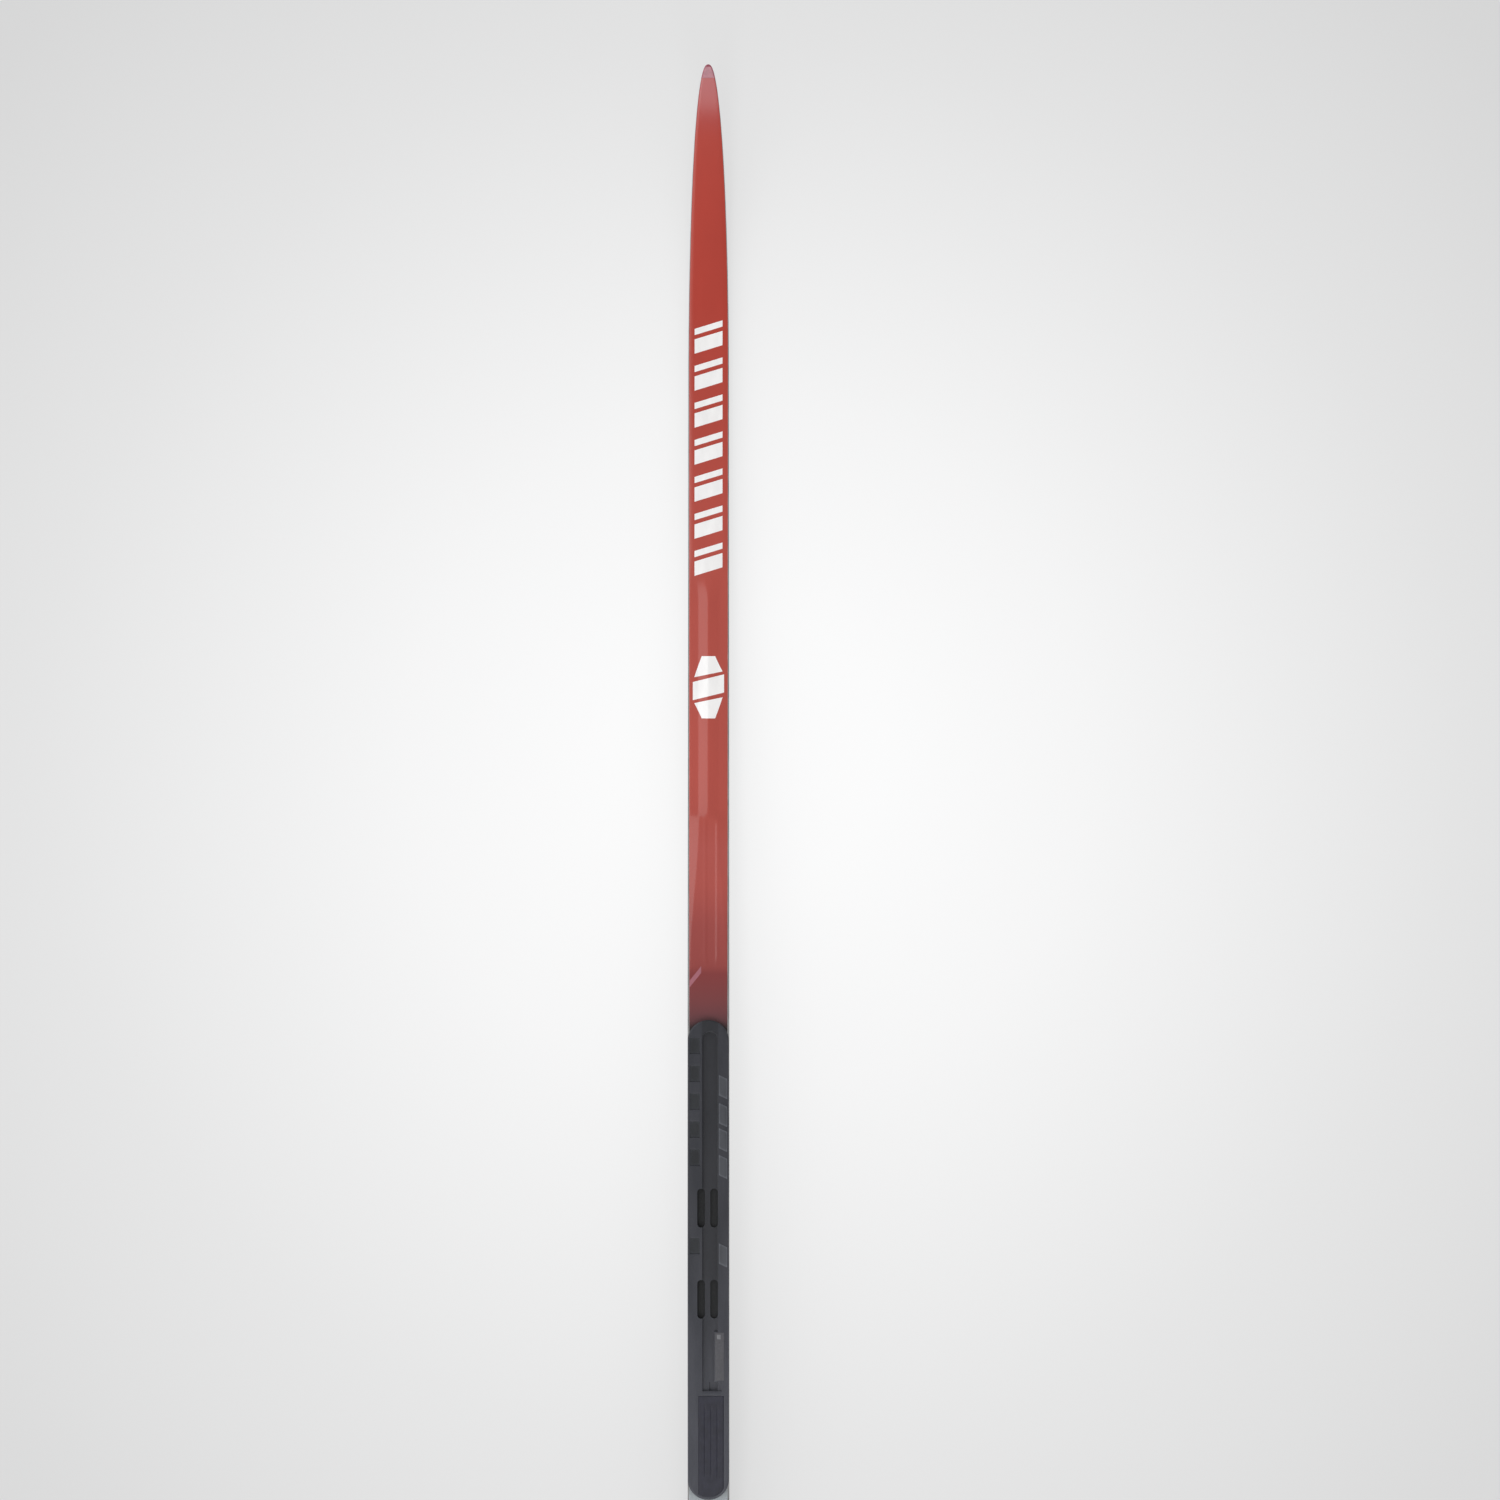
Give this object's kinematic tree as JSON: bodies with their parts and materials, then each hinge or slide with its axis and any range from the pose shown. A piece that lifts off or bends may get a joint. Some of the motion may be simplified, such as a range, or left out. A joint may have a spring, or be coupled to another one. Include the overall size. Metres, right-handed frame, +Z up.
{
  "type": "cross country ski",
  "caption": "Long narrow classic cross country ski with an upturned pointed tip, a glossy red top sheet that fades to black, and a black slide-on binding plate underfoot.",
  "frame": {"origin": "half way between tail and tip, on the middle line, on the surface that the unloaded ski lies on", "axes": "+X along the ski towards the tip, +Y to the ski's left, +Z up out of the top sheet"},
  "size_m": [2.086, 0.0436, 0.0682],
  "materials": {
    "topsheet_lacquer": "clear gloss lacquer over a red print that fades to black and silver",
    "base_sinter": "black sintered polyethylene with graphite, stone ground",
    "fibre_laminate": "carbon and glass fibre in epoxy",
    "sidewall_plastic": "black ABS, fine ground",
    "stringer_wood": "light straight grained wood",
    "light_core": "light foamed core",
    "dense_core": "dense laminated wood",
    "guard_plastic": "dark red moulded plastic",
    "plate_plastic": "dark grey glass filled nylon, fine grain",
    "pad_plastic": "blue black elastomer with a soft sheen",
    "label_film": "grey matt film with no print",
    "bond_foam": "thin adhesive foam"
  },
  "bodies": {
    "root": {"topsheet": "topsheet_lacquer", "running_base": "base_sinter", "lower_laminate": "fibre_laminate", "upper_laminate": "fibre_laminate", "binding_reinforcement": "fibre_laminate", "sidewall_left": "sidewall_plastic", "sidewall_right": "sidewall_plastic", "stringer_left": "stringer_wood", "stringer_right": "stringer_wood", "core_front": "light_core", "core_rear": "light_core", "binding_block": "dense_core", "tip_filler": "sidewall_plastic", "tail_filler": "sidewall_plastic", "tip_guard": "guard_plastic", "tail_guard": "guard_plastic", "plate_bond": "bond_foam", "binding_plate": "plate_plastic", "heel_pad": "pad_plastic", "plate_label": "label_film"}
  },
  "joints": []
}
